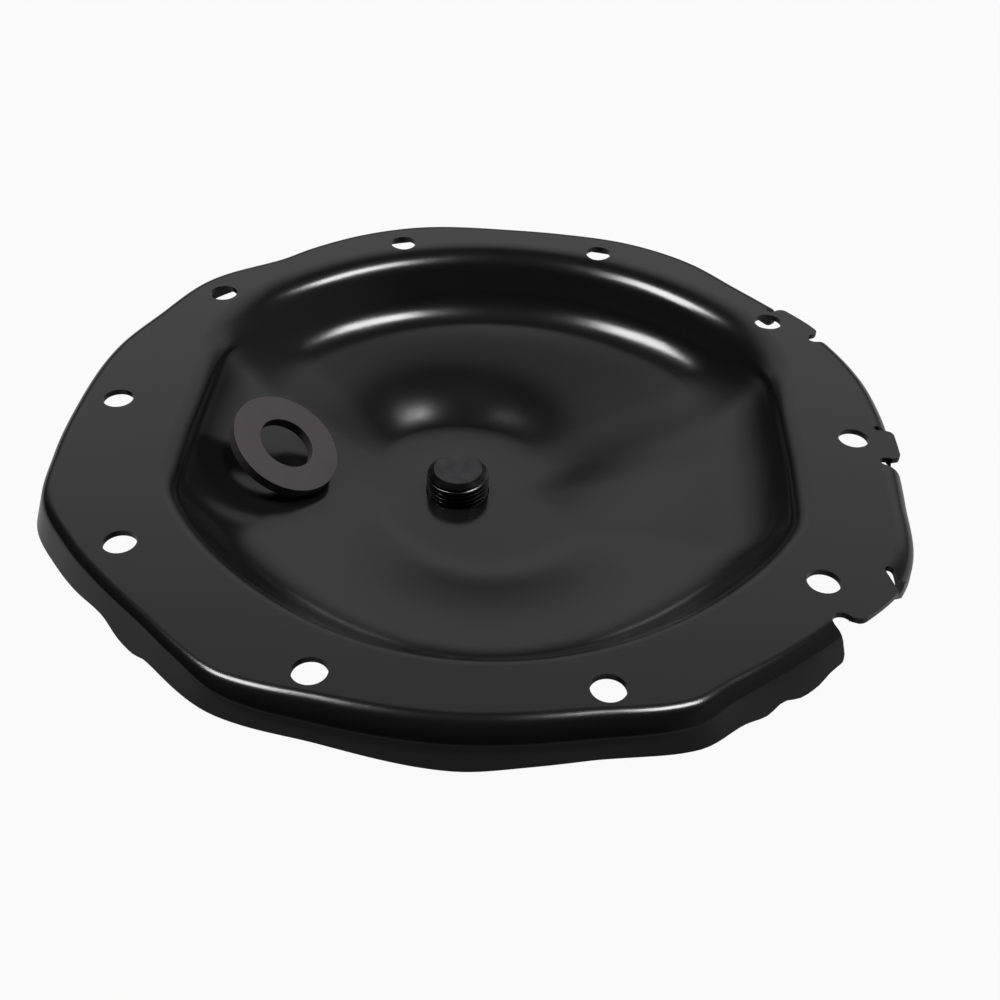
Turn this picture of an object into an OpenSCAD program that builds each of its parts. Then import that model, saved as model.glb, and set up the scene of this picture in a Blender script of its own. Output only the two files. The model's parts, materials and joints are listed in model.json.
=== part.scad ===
// Pressed steel cover of a ten-bolt rear axle, seen from its gasket side.
// The gasket face is the plane z = 0, the bolt pattern is centred on the origin, +Z points at the axle
// housing, and the dish goes down to the outer side. Lengths are millimetres.

/* [Sheet] */
// Thickness of the pressed sheet
sheet = 2; // [1.6:0.1:2.4]
// Width of the flange outside the bolt circle
edge_margin = 12.6; // [11.6:0.2:15]
// How far the edge turns down below the gasket face
skirt_depth = 14; // [11.5:0.5:18]
// Outer radius of the bend between flange and turned-down edge
bend_radius = 8; // [6:0.25:8.5]

/* [Bolt holes] */
// Diameter of each bolt hole
bolt_hole_d = 10.2; // [8.5:0.1:11.5]
// Radius of the circle near which the bolts stand
bolt_circle = 126; // [124:0.5:128]
// Direction of the end bolts, up from the line across
end_angle = 71.5; // [70:0.25:73]
// Direction of the corner bolts
corner_angle = 34.88; // [33.5:0.02:36]

/* [Dish] */
// Width of the flange inside the bolt circle, to the middle of the dish's wall
seat_width = 18; // [16:0.5:20]
// The same at the two straight side walls
side_seat_width = 26.4; // [25:0.2:29]
// Depth of the wall round the dish
wall_depth = 24; // [22:0.5:26]
// Depth of the plug's pad below the gasket face
pad_depth = 35; // [33:0.5:39]

/* [Plug] */
// Major diameter of the plug's thread
thread_d = 22.2; // [20:0.1:24]
// How far the plug stands up out of its pad
plug_rise = 9.3; // [7:0.1:12]
// Width across the flats of the plug's head
plug_flats = 27; // [24:0.5:30]

/* [Chip magnet] */
// Outer diameter of the ring magnet
magnet_d = 39; // [36:0.5:42]
// Diameter of its hole
magnet_hole_d = 19.5; // [16:0.5:22]
// Thickness of the ring magnet
magnet_t = 4; // [3:0.25:5]

/* [Hidden] */

round_fn = 64;
through = 1;

edge_radius = bolt_circle + edge_margin;
dish_radius = bolt_circle - seat_width;
dish_half_width = bolt_circle - side_seat_width;

// Smooth helpers
function clamp01(x) = min(max(x, 0), 1);
function smooth(x) = let (c = clamp01(x)) c * c * (3 - 2 * c);
function mix(a, b, w) = a + (b - a) * w;
function soft_min(a, b, k) = let (h = clamp01(0.5 + 0.5 * (b - a) / k)) mix(b, a, h) - k * h * (1 - h);

// Outer edge: ratio to the mean radius at named directions, joined by a smooth periodic curve
edge_shape = [
    [0, 1.006], [8, 1.012], [17, 1.022], [30, 1.02], [38, 1.008], [47, 1.009], [57, 1.035], [68, 1.04],
    [80, 1.022], [90, 1.017], [104, 1.034], [114, 1.027], [124, 1.007], [131, 0.993], [143, 1.025],
    [155, 1.006], [165, 1.01], [180, 1.004], [192, 1.02], [202, 1.043], [211, 1.023], [220, 1.003],
    [228, 0.995], [235, 1.006], [243, 1.026], [255, 1.004], [270, 1.0], [285, 1.002], [297, 1.032],
    [303, 1.014], [310, 1.012], [320, 1.024], [330, 1.053], [338, 1.052], [348, 1.018]
];
// Trimmed lower edge: ratio to the turned-down depth at named directions
skirt_shape = [
    [0, 1.0], [180, 0.95], [200, 0.8], [216, 0.7], [222, 0.62], [226, 0.78], [229, 0.8], [231.5, 0.7],
    [237, 0.74], [245, 0.8], [255, 0.84], [270, 1.05], [278, 0.95], [290, 0.86], [297, 0.84], [303, 0.76],
    [306, 0.8], [308.5, 0.7], [311, 0.8], [314, 0.78], [316, 0.7], [319, 0.68], [321.5, 0.72], [330, 0.55],
    [340, 0.8]
];
// Bend: ratio to its outer radius, tighter at the two front corners
bend_shape = [
    [0, 1], [60, 0.88], [120, 0.88], [190, 0.63], [205, 0.5], [236, 0.5], [247, 0.88], [257, 1], [285, 1],
    [297, 0.88], [305, 0.75], [322, 0.75], [333, 0.88]
];
// How far the sheet turns down: it flares outwards at the two front corners
turn_shape = [
    [0, 90], [180, 88], [195, 76], [205, 70], [235, 70], [247, 86], [260, 90], [285, 90], [297, 76],
    [305, 64], [322, 64], [334, 85]
];
function entry(shape, i) = let (n = len(shape), turn = floor(i / n), e = shape[i - n * turn])
    [e[0] + 360 * turn, e[1]];
function hermite(p, q, m, n, u) = let (v = 1 - u)
    p * (1 + 2 * u) * v * v + m * u * v * v + q * u * u * (3 - 2 * u) - n * u * u * v;
function between(shape, i, a) = let (
    p = entry(shape, i), q = entry(shape, i + 1), before = entry(shape, i - 1), after = entry(shape, i + 2),
    span = q[0] - p[0],
    m = (q[1] - before[1]) / (q[0] - before[0]) * span,
    n = (after[1] - p[1]) / (after[0] - p[0]) * span)
    hermite(p[1], q[1], m, n, (a - p[0]) / span);
function ratio(shape, a) = let (t = a - 360 * floor(a / 360), i = max([
    for (k = [0 : len(shape) - 1]) if (shape[k][0] <= t) k])) between(shape, i, t);
function edge_at(a) = edge_radius * ratio(edge_shape, a);
function skirt_at(a) = skirt_depth * ratio(skirt_shape, a);
function bend_at(a) = bend_radius * ratio(bend_shape, a);
function turn_at(a) = min(90, ratio(turn_shape, a));

// Dish outline at the middle of the wall: a circle cut by two straight sides, with rounded corners
dish_shift = 2.2;
corner_power = 80;
dish_flat = 0.03;
function wall_at(a) = (1 - dish_flat * (sin(a) < 0 ? pow(sin(2 * a), 2) : 0)) *
    pow(pow(1 / dish_radius, corner_power) + pow(abs(cos(a)) / dish_half_width, corner_power),
        -1 / corner_power);
// Radial length that gives a unit step square to the outline
function stretch_at(a) = let (slope = (wall_at(a + 1) - wall_at(a - 1)) / (PI / 90) / wall_at(a))
    sqrt(1 + slope * slope);

// The wall's section: [at the sides and front, at the back], softer towards the back of the dish
back_from = 0.15;
back_share = 0.55;
side_from = 0.75;
side_share = 0.2;
front_share = 0.5;
rim_fillets = [6, 18];
foot_fillets = [34, 24];
side_foot_fillet = 36;
wall_angles = [62, 50];
back_lift = 3;
// Slope of the floor where it leaves the wall: [at the back, at the front]
floor_angles = [12, 8];
function softness(a) = smooth((sin(a) - back_from) / back_share);
function sideness(a) = smooth((abs(cos(a)) - side_from) / side_share);
function frontness(a) = smooth(front_share - sin(a));
function rim_fillet(a) = mix(rim_fillets[0], rim_fillets[1], softness(a));
function foot_fillet(a) =
    mix(mix(foot_fillets[0], foot_fillets[1], softness(a)), side_foot_fillet, sideness(a));
function wall_foot(a) = wall_depth - back_lift * softness(a);
function wall_angle(a) = mix(wall_angles[0], wall_angles[1], softness(a));
function floor_angle(a) = mix(floor_angles[0], floor_angles[1], frontness(a));
function wall_straight(a) =
    (wall_foot(a) - (rim_fillet(a) + foot_fillet(a)) * (1 - cos(wall_angle(a)))) / sin(wall_angle(a));
// Points [offset, height, tangent angle] of the rim's round, from the wall up to the flat flange
function rim_point(a, tilt) = let (w = wall_angle(a), r = rim_fillet(a), half = wall_straight(a) / 2)
    [half * cos(w) + r * (sin(w) - sin(tilt)), -r * (1 - cos(tilt)), tilt];
// Points of the foot's round, from the floor up to the wall
function foot_point(a, tilt) = let (w = wall_angle(a), r = foot_fillet(a), half = wall_straight(a) / 2)
    [-half * cos(w) - r * (sin(w) - sin(tilt)), r * (1 - cos(tilt)) - wall_foot(a), tilt];
function foot_end(a) = foot_point(a, floor_angle(a));
function foot_radius(a) = wall_at(a) + foot_end(a)[0] * stretch_at(a);

// The plug's pad and the pocket wall behind it
plug_at = [-8.9, 4.3];
pad_side = 27;
pad_back = 36;
pocket_angle = 28;
pocket_blend = 5;
function pad_at(a) = mix(pad_side, pad_back, smooth(sin(a)));

// Floor of the dish: a cone that loses the outline's corners on its way in, and a basin plane that rises
// to the back
basin_rise = 0.13;
basin_blend = 6;
front_steepening = 0.17;
round_power = 4;
cone_inset = 18;
cone_span = dish_radius - cone_inset;
round_squash = 1.06;
round_reach = 1.08;
sharp_from = 0.3;
function round_radius(a) =
    cone_span * round_reach * pow(1 + pow(abs(cos(a)) * round_squash, round_power), -1 / round_power);
function soft_max(a, b, k) = -soft_min(-a, -b, k);
function dish_floor(p) = let (
    v = p - [dish_shift, 0],
    a = atan2(v[1], v[0]),
    sharp = norm(v) / foot_radius(a),
    round = norm(v) / round_radius(a),
    q = mix(round, sharp, smooth((sharp - sharp_from) / (1 - sharp_from))),
    fall = tan(floor_angle(a)) * (1 - q) + front_steepening * frontness(a) * pow(1 - q, 2),
    cone = foot_end(a)[1] - cone_span * fall,
    basin = -pad_depth + basin_rise * p[1])
    soft_max(cone, basin, basin_blend);
function floor_height(p) = let (
    v = p - plug_at,
    rise = max(0, (norm(v) - pad_at(atan2(v[1], v[0]))) * tan(pocket_angle)),
    bowl = max(0, dish_floor(p) + pad_depth))
    -pad_depth + max(0, soft_min(bowl, rise, min(pocket_blend, 2 * rise) + 0.01));
// Height of the dish anywhere inside the wall, with the round at the wall's foot
function dish_height(p) = let (
    v = p - [dish_shift, 0],
    a = atan2(v[1], v[0]),
    offset = (norm(v) - wall_at(a)) / stretch_at(a),
    centre = foot_point(a, 0)[0],
    r = foot_fillet(a))
    offset < foot_end(a)[0] ? floor_height(p)
        : r - sqrt(max(0, r * r - pow(offset - centre, 2))) - wall_foot(a);
function floor_point(p) = [p[0], p[1], floor_height(p)];
function floor_under(p) = let (
    h = 0.5,
    gx = (floor_height(p + [h, 0]) - floor_height(p - [h, 0])) / (2 * h),
    gy = (floor_height(p + [0, h]) - floor_height(p - [0, h])) / (2 * h),
    n = [-gx, -gy, 1] / norm([gx, gy, 1]))
    floor_point(p) - sheet * n;

// Directions of the section rings, closer on both sides of each end of a flat tab
around = 120;
tab_windows = [[27.4, 37.5], [-5, 2.9], [-39, -28.5]];
tab_ends = [for (w = tab_windows, a = w) a < 0 ? a + 360 : a];
near_end = 0.3;
// How much shorter each flat tab is than the bent edge beside it
tab_shorts = [2, 0.7, -0.5];
function snapped(a) = let (
    step = 360 / around,
    above = [for (e = tab_ends) if (a >= e && a < e + step) e + near_end],
    below = [for (e = tab_ends) if (a < e && a >= e - step) e - near_end])
    len(above) > 0 ? above[0] : len(below) > 0 ? below[0] : a;
function tab_index(a) = [
    for (k = [0 : len(tab_windows) - 1], t = [a, a - 360])
        if (t > tab_windows[k][0] && t < tab_windows[k][1]) k];

// One column of the section at direction a: [upper point, lower point] pairs from the pad outwards
function out(a) = [cos(a), sin(a)];
function wall_pair(a, p) = let (
    base = [dish_shift, 0] + wall_at(a) * out(a),
    step = stretch_at(a) * out(a),
    up = base + p[0] * step,
    down = base + (p[0] + sheet * sin(p[2])) * step)
    [[up[0], up[1], p[1]], [down[0], down[1], p[1] - sheet * cos(p[2])]];
function flange_pair(a, r) = let (v = r * out(a)) [[v[0], v[1], 0], [v[0], v[1], -sheet]];
function bend_pair(a, share) = let (
    r = bend_at(a),
    turn = share * turn_at(a),
    start = edge_at(a) - r,
    up = start + r * sin(turn),
    down = start + (r - sheet) * sin(turn),
    v = out(a))
    [[up * v[0], up * v[1], -r * (1 - cos(turn))], [down * v[0], down * v[1], -r + (r - sheet) * cos(turn)]];
function skirt_pair(a) = let (
    r = bend_at(a),
    turn = turn_at(a),
    drop = skirt_at(a) - r * (1 - cos(turn)),
    up = edge_at(a) - r * (1 - sin(turn)) + drop * cos(turn) / sin(turn),
    down = up - sheet * sin(turn),
    v = out(a))
    [[up * v[0], up * v[1], -skirt_at(a)], [down * v[0], down * v[1], -skirt_at(a) - sheet * cos(turn)]];

floor_steps = [0.04, 0.1, 0.18, 0.28, 0.42, 0.6, 0.8];
rise_angles = [30, 45];
fall_angles = [45, 30, 15, 0];
bend_shares = [0.25, 0.5, 0.75, 1];
tab_steps = 5;
function column(a) = let (
    hub = plug_at,
    pad = hub + pad_at(a) * out(a),
    foot = [dish_shift, 0] + foot_radius(a) * out(a),
    tab = tab_index(a),
    start = edge_at(a) - bend_at(a))
    concat(
        [for (w = [0.5, 1]) let (p = mix(hub, pad, w)) [floor_point(p), floor_point(p) - [0, 0, sheet]]],
        [for (w = floor_steps) let (p = mix(pad, foot, w)) [floor_point(p), floor_under(p)]],
        [for (t = concat([floor_angle(a)], rise_angles, [wall_angle(a)])) wall_pair(a, foot_point(a, t))],
        [for (t = fall_angles) wall_pair(a, rim_point(a, t))],
        [flange_pair(a, start)],
        len(tab) > 0
            ? let (tip = edge_at(a) - tab_shorts[tab[0]])
                [for (k = [1 : tab_steps]) flange_pair(a, mix(start, tip, k / tab_steps))]
            : concat([for (share = bend_shares) bend_pair(a, share)], [skirt_pair(a)]));

module pressing() {
    columns = [for (i = [0 : around - 1]) column(snapped(i * 360 / around))];
    rings = len(columns[0]);
    upper = [for (c = columns, pair = c) pair[0]];
    lower = [for (c = columns, pair = c) pair[1]];
    hub_up = floor_point(plug_at);
    points = concat(upper, lower, [hub_up, hub_up - [0, 0, sheet]]);
    half = around * rings;
    function at(i, j) = (i % around) * rings + j;
    faces = concat(
        [for (i = [0 : around - 1]) [2 * half, at(i + 1, 0), at(i, 0)]],
        [for (i = [0 : around - 1], j = [0 : rings - 2], f = [0, 1])
            f == 0 ? [at(i, j), at(i + 1, j), at(i + 1, j + 1)] : [at(i, j), at(i + 1, j + 1), at(i, j + 1)]],
        [for (i = [0 : around - 1], f = [0, 1]) let (
            a = at(i, rings - 1), b = at(i + 1, rings - 1), c = b + half, d = a + half)
            f == 0 ? [a, b, c] : [a, c, d]],
        [for (i = [0 : around - 1], j = [0 : rings - 2], f = [0, 1])
            f == 0 ? [half + at(i, j), half + at(i + 1, j + 1), half + at(i + 1, j)]
                : [half + at(i, j), half + at(i, j + 1), half + at(i + 1, j + 1)]],
        [for (i = [0 : around - 1]) [2 * half + 1, half + at(i, 0), half + at(i + 1, 0)]]);
    polyhedron(points, faces, convexity = 8);
}

// Bolts: [direction, radius], mirrored left and right, front and back; the middle pair stands alone
corner_out = 0.8;
middle_in = 1.5;
quarter = [[end_angle, bolt_circle], [corner_angle, bolt_circle + corner_out]];
bolt_at = concat(
    [for (b = quarter, x = [-1, 1], y = [-1, 1]) b[1] * [x * cos(b[0]), y * sin(b[0])]],
    [for (x = [-1, 1]) [x * (bolt_circle - middle_in), 0]]);

// Relief notches beside the flat tabs: [direction, depth from the mean edge, width]
notches = [[37.6, 5, 3.5], [27.5, 3.2, 5], [2.9, 4.6, 3], [-5.1, 5, 3.6], [-39.5, -0.2, 6]];
// The long slot beside the front tab: closed end, direction and width
slot_from = edge_radius * [0.8994, -0.473];
slot_turn = -76.3;
slot_width = 3;
cut_depth = 1.4 * skirt_depth;
cut_reach = 2 * edge_margin;
module slot_shape(length, width) {
    circle(d = width, $fn = 24);
    translate([0, -width / 2]) square([length, width]);
}
module relief_cuts() {
    translate([0, 0, -cut_depth])
        linear_extrude(cut_depth + through) {
            for (n = notches) rotate(n[0]) translate([edge_radius - n[1], 0]) slot_shape(cut_reach, n[2]);
            translate(slot_from) rotate(slot_turn) slot_shape(cut_reach, slot_width);
        }
}

// Clearance round the plug's thread where it passes the sheet and the boss
bore_gap = 0.2;
module cover() {
    color([0.03, 0.03, 0.035])
    difference() {
        pressing();
        for (p = bolt_at)
            translate([p[0], p[1], -sheet - through])
                cylinder(d = bolt_hole_d, h = sheet + 2 * through, $fn = round_fn);
        translate([plug_at[0], plug_at[1], -pad_depth - sheet - through])
            cylinder(d = thread_d + 2 * bore_gap, h = sheet + 2 * through, $fn = round_fn);
        relief_cuts();
    }
}

// Threaded ring welded round the hole on the outer side of the pad
boss_wall = 5.7;
boss_bore = thread_d + 2 * bore_gap;
boss_d = boss_bore + 2 * boss_wall;
boss_h = 7;
boss_chamfer = 1.5;
boss_top = -pad_depth - sheet;
module plug_boss() {
    color([0.04, 0.04, 0.045])
    translate([plug_at[0], plug_at[1], boss_top - boss_h])
        rotate_extrude($fn = round_fn)
            polygon([
                [boss_bore / 2, 0], [boss_d / 2 - boss_chamfer, 0], [boss_d / 2, boss_chamfer],
                [boss_d / 2, boss_h], [boss_bore / 2, boss_h]
            ]);
}

// Plug: chamfered end, thread, flange that seats on the boss, and a hexagon head
end_d = 17;
end_chamfer = 2.2;
collar_d = 30;
collar_h = 2.5;
head_h = 8;
head_bevel = 1.5;
module fill_plug() {
    shank = boss_h + sheet + plug_rise;
    seat = boss_top - boss_h;
    color([0.1, 0.1, 0.11])
    translate([plug_at[0], plug_at[1], seat]) {
        rotate_extrude($fn = round_fn)
            polygon([
                [0, -collar_h], [collar_d / 2, -collar_h], [collar_d / 2, 0], [thread_d / 2, 0],
                [thread_d / 2, shank - end_chamfer], [end_d / 2, shank], [0, shank]
            ]);
        translate([0, 0, -collar_h])
            intersection() {
                rotate([180, 0, 0]) cylinder(d = plug_flats / cos(30), h = head_h, $fn = 6);
                rotate([180, 0, 0])
                    rotate_extrude($fn = round_fn)
                        polygon([
                            [0, 0], [plug_flats, 0], [plug_flats / 2 / cos(30), head_h - head_bevel],
                            [plug_flats / 2 - head_bevel / 2, head_h], [0, head_h]
                        ]);
            }
    }
}

// Ring magnet: leans on the foot of the left wall, lifted until it just clears the dish
magnet_at = [-69.7, -1.5];
magnet_tilt = 33;
magnet_turn = -16;
magnet_gap = 0.1;
magnet_axis = [sin(magnet_tilt) * cos(magnet_turn), sin(magnet_tilt) * sin(magnet_turn), cos(magnet_tilt)];
function magnet_rim(r, a) = let (
    x = r * cos(a) * cos(magnet_tilt),
    y = r * sin(a))
    [x * cos(magnet_turn) - y * sin(magnet_turn), x * sin(magnet_turn) + y * cos(magnet_turn),
     -r * cos(a) * sin(magnet_tilt)];
magnet_floor = max([
    for (r = [magnet_hole_d / 2, magnet_d / 2], a = [0 : 10 : 350])
        let (u = magnet_rim(r, a)) dish_height(magnet_at + [u[0], u[1]]) - u[2]]);
module chip_magnet() {
    color([0.25, 0.22, 0.21])
    translate([magnet_at[0], magnet_at[1], magnet_floor + magnet_gap / cos(magnet_tilt)])
        rotate([0, 0, magnet_turn])
            rotate([0, magnet_tilt, 0])
                difference() {
                    cylinder(d = magnet_d, h = magnet_t, $fn = round_fn);
                    translate([0, 0, -through])
                        cylinder(d = magnet_hole_d, h = magnet_t + 2 * through, $fn = round_fn);
                }
}

cover();
plug_boss();
fill_plug();
chip_magnet();
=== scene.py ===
# %% [markdown]
# The object is the pressed steel cover of a ten-bolt rear axle, photographed from its gasket side. A plug
# stands in the dish and a loose ring magnet leans on the dish's left wall. The solids come from the frame,
# and each is dressed here with a finer mesh of the same form and a finish made of nodes.

# %% Load the frame
import json
import math

import bmesh
import bpy
from mathutils import Matrix, Vector


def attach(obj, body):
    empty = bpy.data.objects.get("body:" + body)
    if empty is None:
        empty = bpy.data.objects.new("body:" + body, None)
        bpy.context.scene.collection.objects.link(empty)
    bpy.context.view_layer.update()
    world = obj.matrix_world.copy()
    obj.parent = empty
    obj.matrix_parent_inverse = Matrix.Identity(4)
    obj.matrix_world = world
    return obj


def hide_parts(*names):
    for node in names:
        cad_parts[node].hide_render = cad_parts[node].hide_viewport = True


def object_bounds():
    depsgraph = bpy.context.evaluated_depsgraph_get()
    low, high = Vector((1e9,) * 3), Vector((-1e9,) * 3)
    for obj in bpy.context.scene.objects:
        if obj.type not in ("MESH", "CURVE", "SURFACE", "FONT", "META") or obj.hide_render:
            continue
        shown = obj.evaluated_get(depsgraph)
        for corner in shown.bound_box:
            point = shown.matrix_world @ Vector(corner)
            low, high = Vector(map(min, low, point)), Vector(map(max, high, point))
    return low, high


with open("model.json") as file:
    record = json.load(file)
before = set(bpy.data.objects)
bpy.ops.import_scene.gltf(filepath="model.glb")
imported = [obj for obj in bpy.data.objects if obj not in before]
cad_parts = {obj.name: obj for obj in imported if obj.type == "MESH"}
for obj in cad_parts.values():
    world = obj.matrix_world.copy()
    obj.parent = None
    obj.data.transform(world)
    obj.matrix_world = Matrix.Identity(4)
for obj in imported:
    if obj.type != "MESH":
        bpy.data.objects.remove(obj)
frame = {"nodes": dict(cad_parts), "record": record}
cad_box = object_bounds()
bpy.context.scene.view_settings.view_transform = "Standard"
print("CAD box in metres:", cad_box)

# %% [markdown]
# A pressing keeps its sheet's thickness everywhere, and its shape is one cross-section that changes slowly
# on its way round. Those sizes are the driving values of the drawing, here in metres and degrees. The bolt
# holes come from the part's own record, so the picture and the drawing can't part.

# %% Driving sizes
SHEET = 0.002
BOLT_CIRCLE = 0.126
EDGE_RADIUS = BOLT_CIRCLE + 0.0126
SKIRT_DEPTH = 0.014
DISH_RADIUS = BOLT_CIRCLE - 0.018
DISH_HALF_WIDTH = BOLT_CIRCLE - 0.0264
WALL_DEPTH = 0.024
PAD_DEPTH = 0.035
THREAD_D = 0.0222
BORE_GAP = 0.0002
PLUG_AT = Vector((-0.0089, 0.0043))

mounts = {m["name"]: m["dims"] for m in frame["record"]["mounts"] if m["kind"] == "bolt_pattern"}
hole_radius = mounts["end_bolts"]["hole_r_mm"] / 1000
bolts = []
for dims in mounts.values():
    half_x = dims["spacing_x_mm"] / 2000
    half_y = dims.get("spacing_y_mm", 0) / 2000
    rows = (-half_y, half_y) if half_y else (0,)
    bolts += [Vector((x, y)) for x in (-half_x, half_x) for y in rows]
print("bolt holes:", len(bolts), "of radius", hole_radius)

# %% [markdown]
# The outline of such a cover isn't a circle: it swells round the bolts, and its lower edge is trimmed by
# hand tools in a wave. Both are given at a few directions, as a ratio to the mean, and a periodic cubic
# passes through them. A spline curve object would do too, but a function can be asked at any angle.

# %% Curves through a few directions
EDGE_SHAPE = [
    (0, 1.006), (8, 1.012), (17, 1.022), (30, 1.02), (38, 1.008), (47, 1.009), (57, 1.035), (68, 1.04),
    (80, 1.022), (90, 1.017), (104, 1.034), (114, 1.027), (124, 1.007), (131, 0.993), (143, 1.025),
    (155, 1.006), (165, 1.01), (180, 1.004), (192, 1.02), (202, 1.043), (211, 1.023), (220, 1.003),
    (228, 0.995), (235, 1.006), (243, 1.026), (255, 1.004), (270, 1.0), (285, 1.002), (297, 1.032),
    (303, 1.014), (310, 1.012), (320, 1.024), (330, 1.053), (338, 1.052), (348, 1.018),
]
SKIRT_SHAPE = [
    (0, 1.0), (30, 0.8), (60, 0.62), (120, 0.62), (150, 0.8), (180, 0.95), (200, 0.8), (216, 0.7), (222, 0.62),
    (226, 0.78), (229, 0.8), (231.5, 0.7), (237, 0.74), (245, 0.8), (255, 0.84), (270, 1.05), (278, 0.95),
    (290, 0.86), (297, 0.84), (303, 0.76),
    (306, 0.8), (308.5, 0.7), (311, 0.8), (314, 0.78), (316, 0.7), (319, 0.68), (321.5, 0.72), (330, 0.55),
    (340, 0.8),
]
# The bend's outer radius, and how far the sheet turns down there: it flares outwards at both front corners
BEND_RADIUS = 0.008
BEND_SHAPE = [
    (0, 1), (60, 0.88), (120, 0.88), (190, 0.63), (205, 0.5), (236, 0.5), (247, 0.88), (257, 1), (285, 1),
    (297, 0.88), (305, 0.75), (322, 0.75), (333, 0.88),
]
TURN_SHAPE = [
    (0, 90), (180, 88), (195, 76), (205, 70), (235, 70), (247, 86), (260, 90), (285, 90), (297, 76), (305, 64),
    (322, 64), (334, 85),
]


def sin(degrees):
    return math.sin(math.radians(degrees))


def cos(degrees):
    return math.cos(math.radians(degrees))


def ratio(shape, angle):
    """The value at that direction of a smooth closed curve through the shape's points."""
    angle %= 360
    count = len(shape)
    i = max(k for k in range(count) if shape[k][0] <= angle)

    def entry(k):
        return shape[k % count][0] + 360 * (k // count), shape[k % count][1]

    (a0, v0), (a1, v1), (a2, v2), (a3, v3) = (entry(i + k) for k in (-1, 0, 1, 2))
    span = a2 - a1
    slope1 = (v2 - v0) / (a2 - a0) * span
    slope2 = (v3 - v1) / (a3 - a1) * span
    u = (angle - a1) / span
    w = 1 - u
    return v1 * (1 + 2 * u) * w * w + slope1 * u * w * w + v2 * u * u * (3 - 2 * u) - slope2 * u * u * w


def edge_at(angle):
    return EDGE_RADIUS * ratio(EDGE_SHAPE, angle)


def skirt_at(angle):
    return SKIRT_DEPTH * ratio(SKIRT_SHAPE, angle)


def bend_at(angle):
    return BEND_RADIUS * ratio(BEND_SHAPE, angle)


def turn_at(angle):
    return min(90, ratio(TURN_SHAPE, angle))


print("edge radius front, right, back, left:", [round(edge_at(a), 4) for a in (270, 0, 90, 180)])

# %% [markdown]
# The dish's wall is round, cut by two straight sides, and its fold changes on the way: tight and steep at
# the front, wide and soft at the back, with a large round at the foot of both sides. Each change is a blend
# by direction, so that no crease runs down the pressed sheet.

# %% The wall of the dish
DISH_SHIFT = 0.0022
DISH_FLAT = 0.03
CORNER_POWERS = (80, 30)
# Pairs are the value in front and behind, apart from the floor's slope, which is behind and in front
FLOOR_ANGLES = (12, 8)
WALL_ANGLES = (62, 50)
RIM_FILLETS = (0.006, 0.018)
FOOT_FILLETS = (0.034, 0.024)
SIDE_FOOT_FILLET = 0.036
BACK_LIFT = 0.003
SOFT_FROM = 0.15
SOFT_SPAN = 0.55
SIDE_FROM = 0.75
SIDE_SPAN = 0.2


def clamp01(x):
    return min(max(x, 0.0), 1.0)


def smooth(x):
    x = clamp01(x)
    return x * x * (3 - 2 * x)


def mix(a, b, w):
    return a + (b - a) * w


def softness(angle):
    return smooth((sin(angle) - SOFT_FROM) / SOFT_SPAN)


def sideness(angle):
    return smooth((abs(cos(angle)) - SIDE_FROM) / SIDE_SPAN)


def frontness(angle):
    return smooth(0.5 - sin(angle))


def floor_angle(angle):
    return mix(*FLOOR_ANGLES, frontness(angle))


def rim_fillet(angle):
    return mix(*RIM_FILLETS, softness(angle))


def foot_fillet(angle):
    return mix(mix(*FOOT_FILLETS, softness(angle)), SIDE_FOOT_FILLET, sideness(angle))


def wall_foot(angle):
    return WALL_DEPTH - BACK_LIFT * softness(angle)


def wall_angle(angle):
    return mix(*WALL_ANGLES, softness(angle))


def wall_at(angle):
    flat = DISH_FLAT * sin(2 * angle) ** 2 if sin(angle) < 0 else 0
    power = mix(*CORNER_POWERS, softness(angle))
    corner = 1 + (abs(cos(angle)) * DISH_RADIUS / DISH_HALF_WIDTH) ** power
    return (1 - flat) * DISH_RADIUS * corner ** (-1 / power)


def stretch_at(angle):
    """The radial length that gives a unit step square to the outline."""
    slope = (wall_at(angle + 1) - wall_at(angle - 1)) / math.radians(2) / wall_at(angle)
    return math.hypot(1, slope)


def half_wall(angle):
    fold = wall_angle(angle)
    rounds = (rim_fillet(angle) + foot_fillet(angle)) * (1 - cos(fold))
    return (wall_foot(angle) - rounds) / sin(fold) / 2


def rim_point(angle, tilt):
    fold, r = wall_angle(angle), rim_fillet(angle)
    return half_wall(angle) * cos(fold) + r * (sin(fold) - sin(tilt)), -r * (1 - cos(tilt))


def foot_point(angle, tilt):
    fold, r = wall_angle(angle), foot_fillet(angle)
    offset = -half_wall(angle) * cos(fold) - r * (sin(fold) - sin(tilt))
    return offset, r * (1 - cos(tilt)) - wall_foot(angle)


def foot_radius(angle):
    return wall_at(angle) + foot_point(angle, floor_angle(angle))[0] * stretch_at(angle)


print("wall radius front, right, back:", [round(wall_at(a), 4) for a in (270, 0, 90)])

# %% [markdown]
# Inside the wall the floor is a shallow cone. A plane that rises to the back cuts its tip off, the round pad
# for the plug is pressed down into that, and a pocket wall climbs behind the pad. Soft minimum and maximum
# join the three as a press rounds them, where a boolean would leave creases.

# %% The floor of the dish
PAD_SIDE = 0.027
PAD_BACK = 0.036
POCKET_ANGLE = 28
POCKET_BLEND = 0.005
BASIN_RISE = 0.13
BASIN_BLEND = 0.006
STEEPER = 0.12
CONE_INSET = 0.018
CONE_SPAN = DISH_RADIUS - CONE_INSET
ROUND_SQUASH = 1.06
ROUND_REACH = 1.08
SHARP_FROM = 0.3


def soft_min(a, b, k):
    h = clamp01(0.5 + 0.5 * (b - a) / k)
    return mix(b, a, h) - k * h * (1 - h)


def soft_max(a, b, k):
    return -soft_min(-a, -b, k)


def direction(v):
    return math.degrees(math.atan2(v.y, v.x))


def pad_at(angle):
    return mix(PAD_SIDE, PAD_BACK, smooth(sin(angle)))


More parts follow.
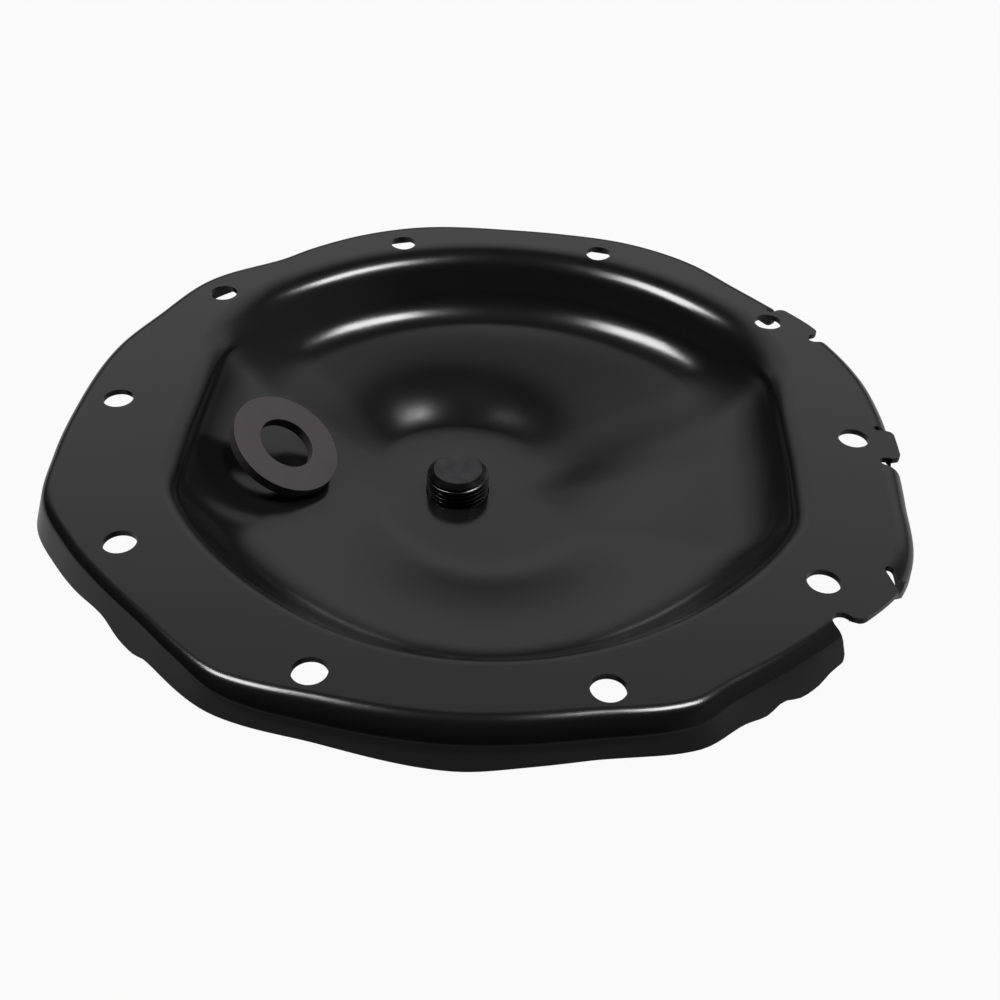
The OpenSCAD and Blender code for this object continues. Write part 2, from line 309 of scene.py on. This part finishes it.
def round_radius(angle):
    return CONE_SPAN * (1 + (abs(cos(angle)) * ROUND_SQUASH) ** 4) ** -0.25 * ROUND_REACH


def dish_floor(p):
    v = p - Vector((DISH_SHIFT, 0))
    angle = direction(v)
    sharp = v.length / foot_radius(angle)
    share = mix(v.length / round_radius(angle), sharp, smooth((sharp - SHARP_FROM) / (1 - SHARP_FROM)))
    fall = math.tan(math.radians(floor_angle(angle))) * (1 - share)
    fall += STEEPER * frontness(angle) * (1 - share) ** 2
    cone = foot_point(angle, floor_angle(angle))[1] - CONE_SPAN * fall
    return soft_max(cone, BASIN_RISE * p.y - PAD_DEPTH, BASIN_BLEND)


def floor_height(p):
    v = p - PLUG_AT
    rise = max(0, (v.length - pad_at(direction(v))) * math.tan(math.radians(POCKET_ANGLE)))
    bowl = max(0, dish_floor(p) + PAD_DEPTH)
    return max(0, soft_min(bowl, rise, min(POCKET_BLEND, 2 * rise) + 0.00001)) - PAD_DEPTH


print("floor height at the pad and half way out:", floor_height(PLUG_AT), floor_height(Vector((0.05, 0))))

# %% [markdown]
# The sheet's upper face is one flat grid, bent into place: the grid's first direction runs round the cover
# and its second from the plug's hole out to the trimmed edge. Each vertex looks up its place in the section.
# A spin would need a section that never changes, and a sculpted plate would lose the exact flange.

# %% One grid for the upper face
TAB_WINDOWS = {(27.4, 37.5): 0.002, (-5, 2.9): 0.0007, (-39, -28.5): -0.0005}
TAB_BEND_SHARE = 0.75
NEAR_END = 0.3
COLUMNS = 360
# Each notch by its direction, its depth from the mean edge and its width
NOTCHES = [
    (37.6, 0.005, 0.0035), (27.5, 0.0032, 0.005), (2.9, 0.0046, 0.003), (-5.1, 0.005, 0.0036),
    (-39.5, -0.0002, 0.006),
]
CORNER_REACH = 1.2
CORNER_STEPS = 4
TAB_PULL = 0.6
SKIRT_PULL = 0.2


def from_notch(angle, notch):
    """How many degrees that direction lies outside the notch's flank."""
    flank = math.degrees(math.asin(notch[2] / 2 / EDGE_RADIUS))
    return abs((angle - notch[0] + 180) % 360 - 180) - flank


angles = [i * 360 / COLUMNS for i in range(COLUMNS)]
for notch in NOTCHES:
    angles = [a for a in angles if from_notch(a, notch) > CORNER_REACH * 1.3]
    flank = -from_notch(notch[0], notch)
    reach = [flank + step / CORNER_STEPS * CORNER_REACH for step in range(CORNER_STEPS + 1)]
    angles += [(notch[0] + side * away) % 360 for side in (-1, 1) for away in reach]
for end in (a % 360 for window in TAB_WINDOWS for a in window):
    angles = [a for a in angles if abs(a - end) > NEAR_END] + [end - NEAR_END, end + NEAR_END]
angles = sorted(angles)


def tab_at(angle):
    """How much shorter the flat tab at that direction is than the bent edge, or None beside the tabs."""
    for (low, high), shorter in TAB_WINDOWS.items():
        if low < angle < high or low < angle - 360 < high:
            return shorter


def corner_share(angle):
    """1 along the edge, and less within the round corner beside each notch."""
    away = min(from_notch(angle, notch) for notch in NOTCHES)
    return math.sqrt(1 - (1 - clamp01(away / CORNER_REACH)) ** 2)


rings = [("pad", i / 8) for i in range(9)]
rings += [("floor", i / 30) for i in range(1, 30)]
rings += [("foot", i / 14) for i in range(15)]
rings += [("wall", i / 4) for i in range(1, 4)]
rings += [("rim", i / 10) for i in range(11)]
rings += [("flange", 0.5)]
rings += [("bend", i / 12) for i in range(13)]
rings += [("skirt", i / 4) for i in range(1, 5)]


def section_point(angle, part, w):
    """The place of a point of the upper face, in that direction and at that share of that part."""
    way = Vector((cos(angle), sin(angle)))
    pad = PLUG_AT + pad_at(angle) * way
    edge = edge_at(angle)
    bend = bend_at(angle)
    bend_start = edge - bend
    turn = turn_at(angle)
    if part == "pad":
        p = mix(PLUG_AT + (THREAD_D / 2 + BORE_GAP) * way, pad, w)
        return p.x, p.y, floor_height(p)
    if part == "floor":
        p = mix(pad, Vector((DISH_SHIFT, 0)) + foot_radius(angle) * way, w)
        return p.x, p.y, floor_height(p)
    if part in ("foot", "wall", "rim"):
        fold = wall_angle(angle)
        if part == "foot":
            point = foot_point(angle, mix(floor_angle(angle), fold, w))
        elif part == "rim":
            point = rim_point(angle, mix(fold, 0, w))
        else:
            point = [mix(a, b, w) for a, b in zip(foot_point(angle, fold), rim_point(angle, fold))]
        p = Vector((DISH_SHIFT, 0)) + (wall_at(angle) + point[0] * stretch_at(angle)) * way
        return p.x, p.y, point[1]
    if part == "flange":
        inner = Vector((DISH_SHIFT, 0)) + (wall_at(angle) + rim_point(angle, 0)[0] * stretch_at(angle)) * way
        p = mix(inner, bend_start * way, w)
        return p.x, p.y, 0
    if tab_at(angle) is not None:
        step = w * TAB_BEND_SHARE if part == "bend" else mix(TAB_BEND_SHARE, 1, w)
        p = mix(bend_start, edge - tab_at(angle), step * mix(TAB_PULL, 1, corner_share(angle))) * way
        return p.x, p.y, 0
    if part == "bend":
        r = bend_start + bend * sin(turn * w)
        return r * way.x, r * way.y, -bend * (1 - cos(turn * w))
    z = mix(bend * (1 - cos(turn)), skirt_at(angle), w * mix(SKIRT_PULL, 1, corner_share(angle)))
    r = bend_start + bend * sin(turn) + (z - bend * (1 - cos(turn))) * cos(turn) / sin(turn)
    return r * way.x, r * way.y, -z


sheet = bmesh.new()
bmesh.ops.create_grid(sheet, x_segments=len(angles), y_segments=len(rings) - 1, size=0.5)
for v in sheet.verts:
    i = round((v.co.x + 0.5) * len(angles)) % len(angles)
    part, w = rings[round((v.co.y + 0.5) * (len(rings) - 1))]
    even = i * 360 / len(angles)
    v.co = section_point(angles[i] if part in ("bend", "skirt") else even, part, w)
bmesh.ops.remove_doubles(sheet, verts=sheet.verts, dist=1e-6)
print("upper face:", len(sheet.verts), "vertices,", len(sheet.faces), "faces")

# %% [markdown]
# Pressing draws the metal, so its folds are softer than drawn arcs, and no crease crosses the floor. A few
# rounds of smoothing on the dish's height alone do that, and more of them on the floor. The outline and the
# flat flange stay where they are.

# %% Soften the dish
SOFTEN = {"all": 5, "floor": 26}
FLANGE_MARGIN = 0.0004
RIM_MARGIN = 0.004
PLUG_CLEAR = 0.02


def is_floor(v):
    return (v.co.xy - Vector((DISH_SHIFT, 0))).length < foot_radius(direction(v.co.xy))


inside = [v for v in sheet.verts if v.co.xy.length < DISH_RADIUS + RIM_MARGIN]
dished = [v for v in inside if v.co.z < -FLANGE_MARGIN and not v.is_boundary]
floor_verts = [v for v in dished if is_floor(v) and (v.co.xy - PLUG_AT).length > PLUG_CLEAR]
for verts, rounds in ((dished, SOFTEN["all"]), (floor_verts, SOFTEN["floor"])):
    for _ in range(rounds):
        bmesh.ops.smooth_vert(sheet, verts=verts, factor=0.5, use_axis_z=True)
bmesh.ops.recalc_face_normals(sheet, faces=sheet.faces)
if sum(f.normal.z for f in sheet.faces) < 0:
    bmesh.ops.reverse_faces(sheet, faces=sheet.faces)
print("softened vertices:", len(dished), "of which floor:", len(floor_verts))

# %% [markdown]
# Solidify gives the sheet its thickness, downwards from the upper face, and its even setting keeps that
# thickness round the bends. The holes and the relief slots beside the tabs are punched by one boolean,
# with one cutter mesh for all of them. The helper applies modifiers by reading the evaluated mesh.

# %% Thickness, holes and slots
SLOT = (EDGE_RADIUS * Vector((0.8994, -0.473)), -76.3, 0.003)
CUT_REACH = 2 * (EDGE_RADIUS - BOLT_CIRCLE)
CUT_TOP = 0.001
CUT_LOW = -1.5 * SKIRT_DEPTH
CUT_STEPS = 96


def new_object(name, bm):
    mesh = bpy.data.meshes.new(name)
    bm.to_mesh(mesh)
    bm.free()
    obj = bpy.data.objects.new(name, mesh)
    bpy.context.scene.collection.objects.link(obj)
    return obj


def applied(obj):
    """The object's mesh with its modifiers applied, as a bmesh. The modifiers are then removed."""
    bm = bmesh.new()
    evaluated = obj.evaluated_get(bpy.context.evaluated_depsgraph_get())
    bm.from_mesh(evaluated.to_mesh())
    evaluated.to_mesh_clear()
    obj.modifiers.clear()
    return bm


def punch(bm, centre, radius, turn=0, reach=0, bottom=CUT_LOW):
    """A round cutter, or with a reach a slot cutter that is open towards that direction."""
    circle = bmesh.ops.create_circle(bm, cap_ends=True, radius=radius, segments=CUT_STEPS)["verts"]
    for v in circle:
        if reach and v.co.x > -1e-6:
            v.co.x += reach if v.co.x > radius * 0.01 else 0
    place = Matrix.Translation((centre.x, centre.y, bottom)) @ Matrix.Rotation(math.radians(turn), 4, "Z")
    bmesh.ops.transform(bm, verts=circle, matrix=place)
    faces = list({f for v in circle for f in v.link_faces})
    top = bmesh.ops.extrude_face_region(bm, geom=faces)
    lifted = [v for v in top["geom"] if isinstance(v, bmesh.types.BMVert)]
    bmesh.ops.translate(bm, verts=lifted, vec=(0, 0, CUT_TOP - bottom))


cutter = bmesh.new()
for bolt in bolts:
    punch(cutter, bolt, hole_radius)
for angle, depth, width in NOTCHES:
    way = Vector((cos(angle), sin(angle)))
    punch(cutter, (EDGE_RADIUS - depth) * way, width / 2, angle, CUT_REACH)
punch(cutter, SLOT[0], SLOT[2] / 2, SLOT[1], CUT_REACH)
bmesh.ops.recalc_face_normals(cutter, faces=cutter.faces)
cutters = new_object("cutters", cutter)

cover = new_object("cover_sheet", sheet)
solidify = cover.modifiers.new("thickness", "SOLIDIFY")
solidify.thickness = SHEET
solidify.offset = -1
solidify.use_even_offset = True
solidify.use_quality_normals = True
boolean = cover.modifiers.new("holes", "BOOLEAN")
boolean.object = cutters
boolean.operation = "DIFFERENCE"
boolean.solver = "MANIFOLD"
punched = applied(cover)
bpy.data.objects.remove(cutters)
print("punched sheet:", len(punched.faces), "faces, open edges:", sum(e.is_boundary for e in punched.edges))

# %% [markdown]
# A punched edge is never sharp: the tool drags it round on one side. The flange's small faces are first
# dissolved into large ones, so that the bevel has clean faces on both sides. Weighted normals then keep the
# flange truly flat in reflections, right up to its bends.

# %% Rounded edges and true normals
EDGE_ROUND = 0.0004
CLOSE = 1e-5
SHARP = 60
SMOOTH_LIMIT = 50
NORMAL_WEIGHT = 50


def is_flat(f):
    level_at = [any(abs(v.co.z - z) < CLOSE for v in f.verts) for z in (0, -SHEET)]
    return abs(f.normal.z) > 0.99999 and any(level_at)


flat = {f for f in punched.faces if is_flat(f)}
inner_edges = [e for e in punched.edges if len(e.link_faces) == 2 and all(f in flat for f in e.link_faces)]
bmesh.ops.dissolve_limit(punched, angle_limit=math.radians(0.2), use_dissolve_boundaries=False,
                         verts=list({v for f in flat for v in f.verts}), edges=inner_edges)


def at_bolt(v):
    return any(abs((v.co.xy - b).length - hole_radius) < 10 * CLOSE for b in bolts)


rims = [e for e in punched.edges if len(e.link_faces) == 2 and e.calc_face_angle() > math.radians(SHARP)
        and all(at_bolt(v) for v in e.verts)]
bmesh.ops.bevel(punched, geom=rims, offset=EDGE_ROUND, segments=2, profile=0.5, affect="EDGES", material=-1,
                clamp_overlap=True)
print("rounded rim edges:", len(rims), "faces now:", len(punched.faces))
punched.to_mesh(cover.data)
punched.free()
cover.data.shade_smooth()
for e in cover.data.edges:
    e.use_edge_sharp = False


def weighted_normals(obj, limit):
    """Smooth shading whose normals favour the large faces, with edges past the limit kept sharp."""
    obj.data.set_sharp_from_angle(angle=math.radians(limit))
    modifier = obj.modifiers.new("normals", "WEIGHTED_NORMAL")
    modifier.mode = "FACE_AREA"
    modifier.weight = NORMAL_WEIGHT
    modifier.keep_sharp = True


weighted_normals(cover, SMOOTH_LIMIT)
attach(cover, "root")
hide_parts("cover")

# %% [markdown]
# Turned parts are spun from half a profile, as a lathe would cut them. A full spin is merged at its seam, and
# a narrow bevel breaks every edge sharper than forty degrees.

# %% Turned parts
ROUND_STEPS = 96


def turned(bm, profile, place=Matrix()):
    """Spins a closed profile of (radius, height) points about Z and puts the result in place."""
    verts = [bm.verts.new((r, 0, z)) for r, z in profile]
    edges = [bm.edges.new((verts[i - 1], verts[i])) for i in range(len(verts)) if i or profile[0][0] > 0]
    spun = bmesh.ops.spin(bm, geom=verts + edges, cent=(0, 0, 0), axis=(0, 0, 1), angle=math.tau,
                          steps=ROUND_STEPS, use_merge=True)
    made = {v for v in spun["geom_last"] if isinstance(v, bmesh.types.BMVert)} | set(verts)
    reached = list(made)
    for v in reached:
        for e in v.link_edges:
            other = e.other_vert(v)
            if other not in made:
                made.add(other)
                reached.append(other)
    bmesh.ops.transform(bm, verts=list(made), matrix=place)
    bmesh.ops.remove_doubles(bm, verts=list(made), dist=1e-6)
    return made


def break_edges(bm, width, limit=40):
    """Rounds the mesh's sharp edges."""
    bmesh.ops.recalc_face_normals(bm, faces=bm.faces)
    sharp = [e for e in bm.edges if len(e.link_faces) == 2 and e.calc_face_angle() > math.radians(limit)]
    bmesh.ops.bevel(bm, geom=sharp, offset=width, segments=2, profile=0.5, affect="EDGES", material=-1)


def finished(name, bm, node):
    """The bmesh as a smooth-shaded piece that stands for a node of the frame."""
    bmesh.ops.recalc_face_normals(bm, faces=bm.faces)
    obj = new_object(name, bm)
    obj.data.shade_smooth()
    weighted_normals(obj, 35)
    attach(obj, "root")
    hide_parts(node)
    print(name, "has", len(obj.data.polygons), "faces")
    return obj


# %% [markdown]
# A threaded ring is welded round the hole on the outer side, because two millimetres of sheet can't hold a
# thread. The photograph doesn't show it. Its sizes follow the solid in the frame.

# %% Boss and seat
BOSS_HEIGHT = 0.007
BOSS_WALL = 0.0057
BOSS_CHAMFER = 0.0015
BOSS_EDGE = 0.0003

bore = THREAD_D / 2 + BORE_GAP
boss_radius = bore + BOSS_WALL
boss_top = -PAD_DEPTH - SHEET
seat = boss_top - BOSS_HEIGHT
bm = bmesh.new()
turned(bm, [(bore, 0), (boss_radius - BOSS_CHAMFER, 0), (boss_radius, BOSS_CHAMFER), (boss_radius, BOSS_HEIGHT),
            (bore, BOSS_HEIGHT)], Matrix.Translation((PLUG_AT.x, PLUG_AT.y, seat)))
break_edges(bm, BOSS_EDGE)
boss = finished("boss", bm, "plug_boss")

# %% [markdown]
# The plug's thread is the one fine form that the photograph shows close up: three bright crests, then dark
# turns down to the pad. A grid is rolled into a cylinder whose radius rises and falls along the height, and
# the height of each crest climbs by one pitch in a turn, which makes a true helix that meets itself at the
# seam. A screw modifier would leave open ends to close. The chamfer cuts the first crests off.

# %% Plug with its thread
PLUG_RISE = 0.0093
END_D = 0.017
END_CHAMFER = 0.0022
PITCH = 0.00175
THREAD_DEPTH = 0.0012
CREST_WIDTH = 1.5
TAPER = 1 / 32
COLLAR_D = 0.030
COLLAR_HEIGHT = 0.0025
COLLAR_EDGE = 0.0003
HEAD_HEIGHT = 0.008
HEAD_BEVEL = 0.0015
PLUG_FLATS = 0.027
ROWS_PER_PITCH = 14

shank = BOSS_HEIGHT + SHEET + PLUG_RISE
rows = round(shank / PITCH * ROWS_PER_PITCH)


def shank_radius(z, turn):
    """The radius at that height over the seat: rounded crests on a slight taper, cut by the chamfer."""
    crest = THREAD_D / 2 - max(0, z - BOSS_HEIGHT - SHEET) * TAPER
    wave = 0.5 - 0.5 * math.cos(math.tau * (z / PITCH - turn))
    cone = END_D / 2 + (shank - z) * (THREAD_D - END_D) / 2 / END_CHAMFER
    return min(crest - THREAD_DEPTH * wave ** CREST_WIDTH, cone)


bm = bmesh.new()
bmesh.ops.create_grid(bm, x_segments=ROUND_STEPS * 2, y_segments=rows, size=0.5)
for v in bm.verts:
    turn = v.co.x + 0.5
    z = (v.co.y + 0.5) * shank
    r = shank_radius(z, turn)
    v.co = (r * math.cos(math.tau * turn), r * math.sin(math.tau * turn), z)
bmesh.ops.remove_doubles(bm, verts=bm.verts, dist=1e-7)
end_ring = [e for e in bm.edges if e.is_boundary]
bmesh.ops.holes_fill(bm, edges=end_ring, sides=0)
turned(bm, [(0, -COLLAR_HEIGHT), (COLLAR_D / 2, -COLLAR_HEIGHT), (COLLAR_D / 2, 0), (0, 0)])
bmesh.ops.translate(bm, verts=bm.verts, vec=(PLUG_AT.x, PLUG_AT.y, seat))
collar_edges = [e for e in bm.edges if len(e.link_faces) == 2 and e.calc_face_angle() > math.radians(SHARP)
                and all((v.co.xy - PLUG_AT).length > COLLAR_D / 2 - 0.0001 for v in e.verts)]
bmesh.ops.bevel(bm, geom=collar_edges, offset=COLLAR_EDGE, segments=2, profile=0.5, affect="EDGES", material=-1)

head = bmesh.new()
corner_radius = PLUG_FLATS / 2 / cos(30)
prism = bmesh.ops.create_cone(head, cap_ends=True, segments=6, radius1=corner_radius, radius2=corner_radius,
                              depth=HEAD_HEIGHT)["verts"]
bmesh.ops.rotate(head, verts=prism, matrix=Matrix.Rotation(math.radians(30), 3, "Z"))
turner = bmesh.new()
turned(turner, [(0, HEAD_HEIGHT), (PLUG_FLATS, HEAD_HEIGHT), (corner_radius, HEAD_BEVEL - HEAD_HEIGHT / 2),
                (PLUG_FLATS / 2 - HEAD_BEVEL / 2, -HEAD_HEIGHT / 2), (0, -HEAD_HEIGHT / 2)])
bmesh.ops.recalc_face_normals(turner, faces=turner.faces)
turner_object = new_object("turner", turner)
hexagon = new_object("hexagon", head)
corner_cut = hexagon.modifiers.new("corner_cut", "BOOLEAN")
corner_cut.object = turner_object
corner_cut.operation = "INTERSECT"
corner_cut.solver = "MANIFOLD"
head = applied(hexagon)
bpy.data.objects.remove(hexagon)
bpy.data.objects.remove(turner_object)
bmesh.ops.translate(head, verts=head.verts, vec=(PLUG_AT.x, PLUG_AT.y, seat - COLLAR_HEIGHT - HEAD_HEIGHT / 2))
head_mesh = bpy.data.meshes.new("head")
head.to_mesh(head_mesh)
head.free()
bm.from_mesh(head_mesh)
bpy.data.meshes.remove(head_mesh)
plug = finished("plug", bm, "fill_plug")

# %% [markdown]
# The ring magnet is pressed ferrite: a plain ring with broken edges. Its middle is read from the solid in the
# frame, so it leans on the dish exactly where the solid does.

# %% Ring magnet
MAGNET_D = 0.039
MAGNET_HOLE_D = 0.0195
MAGNET_HEIGHT = 0.004
MAGNET_TILT = 33
MAGNET_TURN = -16
MAGNET_EDGE = 0.00025

solid = frame["nodes"]["chip_magnet"]
corners = [solid.matrix_world @ v.co for v in solid.data.vertices]
middle = sum(corners, Vector()) / len(corners)
lean = Matrix.Rotation(math.radians(MAGNET_TURN), 4, "Z") @ Matrix.Rotation(math.radians(MAGNET_TILT), 4, "Y")
bm = bmesh.new()
turned(bm, [(MAGNET_HOLE_D / 2, -MAGNET_HEIGHT / 2), (MAGNET_D / 2, -MAGNET_HEIGHT / 2),
            (MAGNET_D / 2, MAGNET_HEIGHT / 2), (MAGNET_HOLE_D / 2, MAGNET_HEIGHT / 2)],
       Matrix.Translation(middle) @ lean)
break_edges(bm, MAGNET_EDGE)
magnet = finished("magnet", bm, "chip_magnet")

# %% [markdown]
# The camera stands where the photograph was taken: it was worked out from the ten round holes, whose pattern
# is known. Its heading, height, roll and distance are written as measured, in units of the bolt circle.

# %% Camera
SENSOR = 36
FOCAL = 1.291356
HEADING = 0.0204328
ELEVATION = 0.6863011
ROLL = -0.0424724
DISTANCE = 3.198471 * BOLT_CIRCLE
AIM = Vector((0.0586499, -0.3429090, 0)) * BOLT_CIRCLE

back = Matrix.Rotation(HEADING, 3, "Z") @ Vector((0, -math.cos(ELEVATION), math.sin(ELEVATION)))
level = (-back).cross(Vector((0, 0, 1))).normalized()
down = (-back).cross(level)
right = level * math.cos(ROLL) + down * math.sin(ROLL)
up = level * math.sin(ROLL) - down * math.cos(ROLL)
camera_data = bpy.data.cameras.new("camera")
camera_data.sensor_width = SENSOR
camera_data.lens = SENSOR * FOCAL
camera_data.clip_start = 0.01
camera = bpy.data.objects.new("camera", camera_data)
bpy.context.scene.collection.objects.link(camera)
axes = Matrix((right, up, back)).transposed().to_4x4()
camera.matrix_world = Matrix.Translation(AIM + back * DISTANCE) @ axes
bpy.context.scene.camera = camera
print("camera at", tuple(round(c, 3) for c in camera.location))

# %% [markdown]
# Shader maths reads best as maths. This small class holds a socket, and its operators add the Math nodes;
# any other node comes from add_node, which takes the node's type, its settings and its inputs. Three more
# helpers make what every finish here needs: a ramp, a colour between two, and noise that sticks to the piece.

# %% Nodes as expressions
class Value:
    """A socket of a node tree that can be used in sums and products."""

    def __init__(self, tree, socket):
        self.tree = tree
        self.socket = socket

    def math(self, operation, *others):
        made = self.tree.nodes.new("ShaderNodeMath")
        made.operation = operation
        for slot, value in enumerate((self,) + others):
            plug_in(self.tree, made.inputs[slot], value)
        return Value(self.tree, made.outputs[0])

    def __add__(self, other):
        return self.math("ADD", other)

    __radd__ = __add__

    def __mul__(self, other):
        return self.math("MULTIPLY", other)

    __rmul__ = __mul__

    def __sub__(self, other):
        return self.math("SUBTRACT", other)

    def __rsub__(self, other):
        return (self * -1) + other


def plug_in(tree, socket, value):
    """Links a value to a socket, or writes a number or colour on it."""
    if isinstance(value, Value):
        tree.links.new(value.socket, socket)
    else:
        socket.default_value = value


def add_node(tree, kind, settings=None, out=0, **inputs):
    """Any node: its type, its settings, its output to use and its inputs by name."""
    made = tree.nodes.new(kind)
    for name, setting in (settings or {}).items():
        setattr(made, name, setting)
    for name, value in inputs.items():
        plug_in(tree, made.inputs[name.replace("_", " ")], value)
    return Value(tree, made.outputs[out])


def ramp(tree, value, low, high, kind="SMOOTHSTEP"):
    """0 below low, 1 above high, and between them smooth or linear."""
    made = add_node(tree, "ShaderNodeMapRange", {"interpolation_type": kind}, Value=value)
    made.socket.node.inputs["From Min"].default_value = low
    made.socket.node.inputs["From Max"].default_value = high
    return made


def two_tones(tree, share, dark, pale):
    """A colour between two, by the share of the second."""
    mixed = add_node(tree, "ShaderNodeMix", {"data_type": "RGBA"}, out=2)
    for slot, value in ((0, share), (6, dark), (7, pale)):
        plug_in(tree, mixed.socket.node.inputs[slot], value)
    return mixed


def noise(tree, scale, detail):
    place = add_node(tree, "ShaderNodeTexCoord", out=3)
    return add_node(tree, "ShaderNodeTexNoise", Vector=place, Scale=scale, Detail=detail)


def dressed(pieces, name, finish):
    """A new material on those pieces; the finish gives the values of its shader's sockets."""
    material = bpy.data.materials.new(name)
    material.use_nodes = True
    tree = material.node_tree
    for socket, value in finish(tree).items():
        plug_in(tree, tree.nodes["Principled BSDF"].inputs[socket], value)
    for piece in pieces:
        piece.data.materials.append(material)
    print(name, "has", len(tree.nodes), "nodes")


# %% [markdown]
# The cover has one coat of semi-gloss black paint, sprayed and baked. Nearly all that the eye sees of it is
# reflection, so its colour is almost black and its look comes from roughness and a faint orange peel.

# %% Black paint
PAINT_BLACK = (0.0085, 0.0085, 0.009, 1)


def black_paint(tree):
    peel = noise(tree, 420.0, 2.0)
    cloud = noise(tree, 35.0, 3.0)
    bump = add_node(tree, "ShaderNodeBump", Height=peel, Strength=0.05, Distance=0.0002)
    return {"Base Color": PAINT_BLACK, "Roughness": 0.13 + 0.08 * cloud, "Normal": bump}


dressed((cover, boss), "black_paint", black_paint)

# %% [markdown]
# The plug is steel with a thin black oxide, so it reflects like dark metal and its crests catch the light.

# %% Black oxide
OXIDE_DARK = (0.052, 0.052, 0.055, 1)
OXIDE_WORN = (0.075, 0.075, 0.078, 1)


def black_oxide(tree):
    cloud = noise(tree, 260.0, 3.0)
    worn = ramp(tree, cloud, 0.35, 0.7, "LINEAR")
    colour = two_tones(tree, worn, OXIDE_DARK, OXIDE_WORN)
    return {"Base Color": colour, "Metallic": 1.0, "Roughness": 0.2 + 0.12 * cloud}


dressed((plug,), "black_oxide", black_oxide)

# %% [markdown]
# The magnet is raw ferrite: matt, brownish grey, with a fine grain and slightly paler clouds in it.

# %% Ferrite
FERRITE_DARK = (0.052, 0.045, 0.047, 1)
FERRITE_PALE = (0.08, 0.07, 0.073, 1)


def ferrite(tree):
    grain = noise(tree, 1600.0, 3.0)
    cloud = noise(tree, 90.0, 4.0)
    bump = add_node(tree, "ShaderNodeBump", Height=grain, Strength=0.25, Distance=0.0001)
    colour = two_tones(tree, cloud, FERRITE_DARK, FERRITE_PALE)
    return {"Base Color": colour, "Roughness": 0.5 + 0.2 * cloud, "Normal": bump}


dressed((magnet,), "ferrite", ferrite)

# %% [markdown]
# Two softboxes hang over the dish, a little apart, and a pale wall glows beyond it. The room behind the
# camera is dark, which is what gives black paint its shape.

# %% Lamps and world
PANELS = [((-0.56, 0.2, 1.3), 0.34, 0.38, 9.0), ((0.42, 0.2, 1.3), 0.26, 0.34, 7.0)]
BACK_GLOW = 0.62
SIDE_GLOW = 0.14
ROOM_GLOW = 0.01

for place, width, length, watts in PANELS:
    light = bpy.data.lights.new("softbox", "AREA")
    light.shape = "RECTANGLE"
    light.size = width
    light.size_y = length
    light.energy = watts
    lamp = bpy.data.objects.new("softbox", light)
    lamp.location = place
    lamp.rotation_euler = Vector(place).to_track_quat("Z", "Y").to_euler()
    bpy.context.scene.collection.objects.link(lamp)

world = bpy.data.worlds.new("studio")
bpy.context.scene.world = world
world.use_nodes = True
sky = world.node_tree
towards = add_node(sky, "ShaderNodeTexCoord")
side, beyond, height = (add_node(sky, "ShaderNodeSeparateXYZ", out=k, Vector=towards) for k in range(3))
wall_glow = BACK_GLOW * ramp(sky, beyond, 0.46, 0.74) * ramp(sky, height, 0, 0.55)
glow = ROOM_GLOW + wall_glow + SIDE_GLOW * ramp(sky, side, 0.35, 0.75)
shown = add_node(sky, "ShaderNodeLightPath", out=0)
plug_in(sky, sky.nodes["Background"].inputs["Strength"], glow + shown * (1 - glow))
plug_in(sky, sky.nodes["Background"].inputs["Color"], (1, 1, 1, 1))
print("softboxes:", len(PANELS), "with", sum(panel[-1] for panel in PANELS), "watts in all")

# %% [markdown]
# The floor is a pale sheet that the camera sees as white, apart from a trace of the cover's shadow. Paint
# and metal reflect it as pale too, outside a round shade in front that stands for the camera's own dark.

# %% Floor
FLOOR_SIZE = 3
FLOOR_GREY = 0.22
SHADE_AT = Vector((-0.02, -0.34, 0))
SHADE_RADII = (0.14, 0.42)
SHOWN_SHADOW = 0.05
GLOSSY_WHITE = 0.24

bm = bmesh.new()
bmesh.ops.create_grid(bm, x_segments=1, y_segments=1, size=FLOOR_SIZE / 2)
bmesh.ops.translate(bm, verts=bm.verts, vec=(0, 0, cad_box[0].z))
floor = new_object("floor", bm)


def studio_floor(tree):
    """White to the camera apart from a trace of shadow, and pale in reflections outside the shade."""
    place = add_node(tree, "ShaderNodeTexCoord", out=3)
    away = add_node(tree, "ShaderNodeVectorMath", {"operation": "DISTANCE"}, out=1, Vector=place)
    away.socket.node.inputs[1].default_value = SHADE_AT
    white = add_node(tree, "ShaderNodeEmission", Color=(1, 1, 1, 1), Strength=1.0)
    rays = [add_node(tree, "ShaderNodeLightPath", out=k) for k in (0, 3, 6)]
    camera_ray, glossy_ray, transmission_ray = rays
    reflected = (glossy_ray + transmission_ray) * GLOSSY_WHITE * ramp(tree, away, *SHADE_RADII)
    shown = add_node(tree, "ShaderNodeMixShader")
    plug_in(tree, shown.socket.node.inputs[0], camera_ray * (1 - SHOWN_SHADOW) + reflected)
    tree.links.new(tree.nodes["Principled BSDF"].outputs[0], shown.socket.node.inputs[1])
    tree.links.new(white.socket, shown.socket.node.inputs[2])
    tree.links.new(shown.socket, tree.nodes["Material Output"].inputs["Surface"])
    return {"Base Color": (FLOOR_GREY, FLOOR_GREY, FLOOR_GREY, 1), "Roughness": 0.9}


dressed((floor,), "studio_floor", studio_floor)
